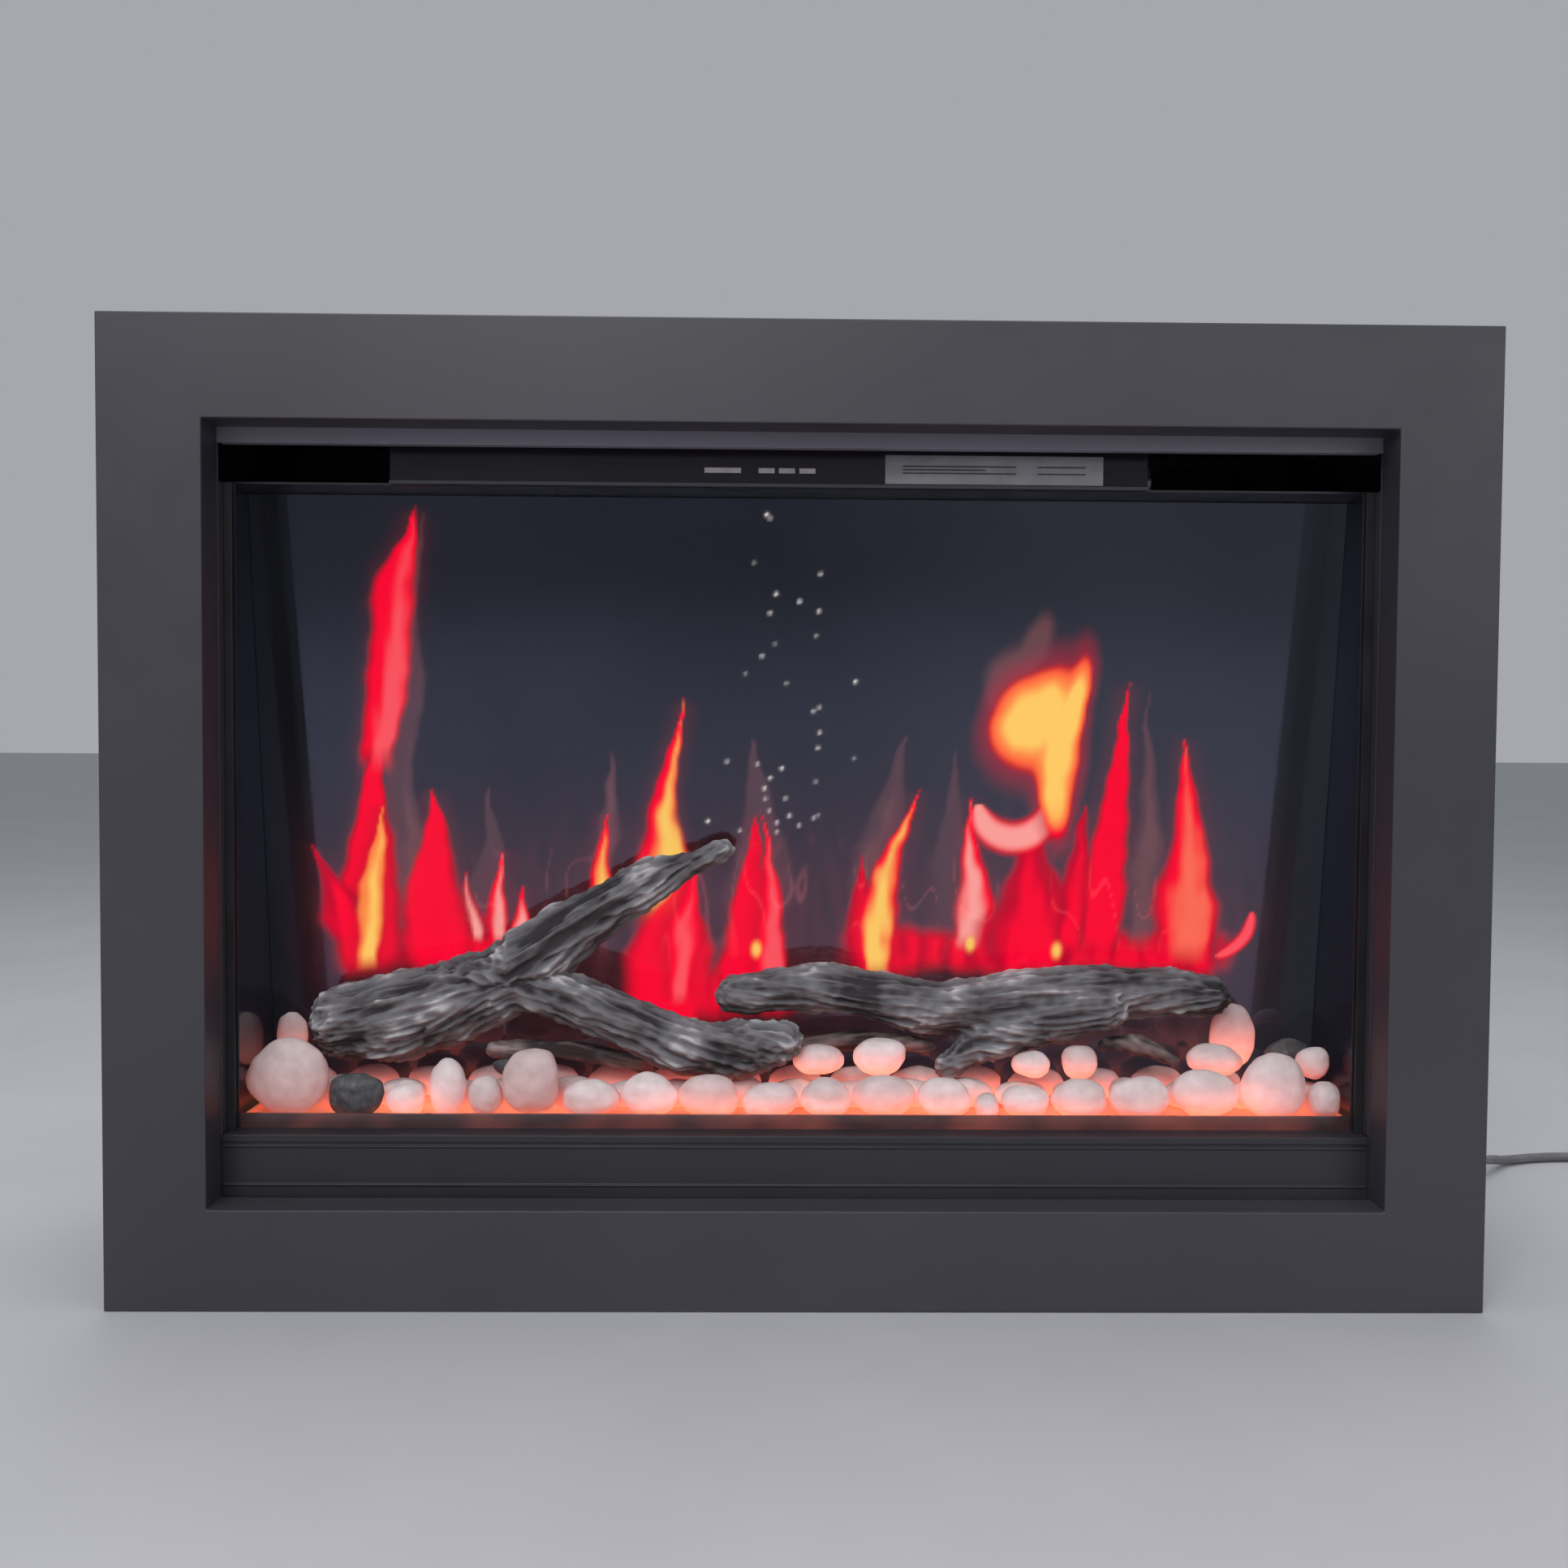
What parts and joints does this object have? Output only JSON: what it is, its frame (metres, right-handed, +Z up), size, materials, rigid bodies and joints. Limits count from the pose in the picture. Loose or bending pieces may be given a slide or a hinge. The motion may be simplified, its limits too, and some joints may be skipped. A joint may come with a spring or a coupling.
{
  "type": "electric fireplace",
  "caption": "Electric fireplace insert with a flat surround, a log and pebble bed, a mirrored flame screen, a flicker rotor and a cross-flow fan heater.",
  "frame": {"origin": "on the floor under the middle of the insert, cord left out", "axes": "+X to the right seen from the front, +Y to the back, +Z up"},
  "size_m": [1.293, 0.3322, 0.656],
  "materials": {
    "surround": "satin powder coat",
    "casing": "satin black paint",
    "fascia": "satin powder coat",
    "zinc": "zinc plated",
    "screw": "plated",
    "rubber": "matte",
    "fence": "smoked",
    "gasket": "matte",
    "front_glass": "polished",
    "deflector": "gloss black",
    "label": "metallic grey film",
    "lamp": "translucent",
    "firebox_black": "satin black",
    "liner": "gloss black",
    "screen": "half-silvered acrylic",
    "tray": "translucent",
    "board_white": "solder mask",
    "ember_led": "clear lens",
    "pebble": "frosted",
    "stone": "rough",
    "log": "charred, rough",
    "twig": "charred, rough",
    "plate": "bright rolled",
    "flame_led": "clear lens",
    "motor": "plated",
    "bush": "self-lubricating",
    "steel": "ground",
    "vane": "crinkled foil",
    "duct": "galvanised",
    "element": "oxidised fins",
    "impeller": "dark anodised",
    "board_green": "solder mask",
    "driver": "matte",
    "black_plastic": "fine texture",
    "rocker": "translucent red",
    "reset": "matte",
    "wire": "sleeved",
    "cord_grey": "satin vinyl",
    "plug_grey": "moulded vinyl"
  },
  "bodies": {
    "housing": {"trim_frame": "surround", "frame_brackets": "zinc", "base_pan": "casing", "top_cover": "casing", "left_side_panel": "casing", "right_side_panel": "casing", "rear_panel": "casing", "screws": "screw", "rubber_feet": "rubber", "fascia_top_rail": "surround", "fascia_bottom_rail": "fascia", "fascia_side_rails": "surround", "ember_ledge": "fascia", "media_fence": "fence", "glass_channels": "gasket", "front_glass": "front_glass", "outlet_deflector": "deflector", "rating_label": "label", "indicator_lamps": "lamp", "firebox_ceiling": "firebox_black", "left_liner": "liner", "right_liner": "liner", "flame_screen": "screen", "screen_rails": "zinc", "ember_tray": "tray", "tray_supports": "zinc", "ember_led_board": "board_white", "ember_leds": "ember_led", "white_pebbles": "pebble", "dark_stones": "stone", "log_left": "log", "log_right": "log", "twigs": "twig", "flame_plate": "plate", "flame_led_board": "board_white", "flame_leds": "flame_led", "flame_motor": "motor", "motor_bracket": "zinc", "shaft_bracket": "zinc", "shaft_bush": "bush", "heater_duct": "duct", "heating_element": "element", "blower_scroll": "duct", "blower_motor": "motor", "control_board": "board_green", "led_driver": "driver", "power_switch": "black_plastic", "reset_switch": "black_plastic", "strain_relief": "cord_grey", "supply_lines": "wire", "power_cord": "cord_grey", "cord_coil": "cord_grey", "cord_tail": "cord_grey", "cord_tie": "black_plastic", "cord_plug": "plug_grey"},
    "flicker_rotor": {"flicker_shaft": "steel", "flicker_vanes": "vane"},
    "impeller": {"blower_impeller": "impeller"},
    "rocker": {"switch_rocker": "rocker"},
    "reset": {"reset_button": "reset"}
  },
  "joints": [
    {"name": "flicker_spin", "type": "hinge", "parent": "housing", "child": "flicker_rotor", "pos_m": [-0.386, 0.06, 0.125], "axis": [1, 0, 0], "continuous": true},
    {"name": "impeller_spin", "type": "hinge", "parent": "housing", "child": "impeller", "pos_m": [-0.022, 0.055, 0.586], "axis": [1, 0, 0], "continuous": true},
    {"name": "rocker_tilt", "type": "hinge", "parent": "housing", "child": "rocker", "pos_m": [0.419, 0.02, 0.08], "axis": [0, 1, 0], "range_deg": [-16, 0]},
    {"name": "reset_press", "type": "slide", "parent": "housing", "child": "reset", "axis": [0, -1, 0], "range_m": [0, 0.0015], "stiffness_N_per_m": 400}
  ]
}
